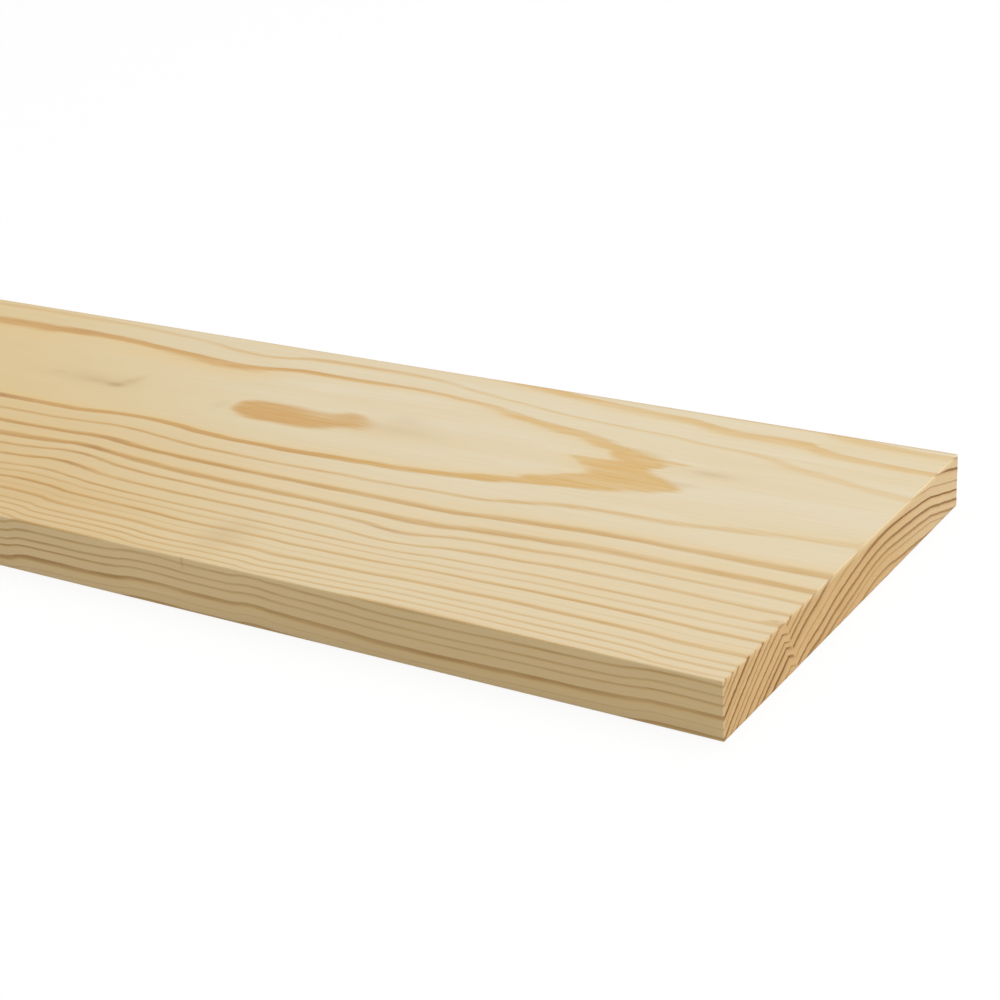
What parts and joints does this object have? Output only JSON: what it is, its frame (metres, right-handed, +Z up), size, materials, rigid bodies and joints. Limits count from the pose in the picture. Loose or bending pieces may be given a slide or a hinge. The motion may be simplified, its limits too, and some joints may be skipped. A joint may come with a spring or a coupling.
{
  "type": "planed timber plank",
  "caption": "Long flat square-edged softwood board, planed all round with eased arrises and square crosscut ends, used as stock for shelves, cladding and joinery.",
  "frame": {"origin": "middle of the underside, where the board lies on the floor", "axes": "+X along the board, +Y across its width, +Z up through its thickness"},
  "size_m": [1.8, 0.195, 0.021],
  "materials": {
    "pine": "planed, unfinished pine with plain-sawn grain"
  },
  "bodies": {
    "root": {"plank": "pine"}
  },
  "joints": []
}
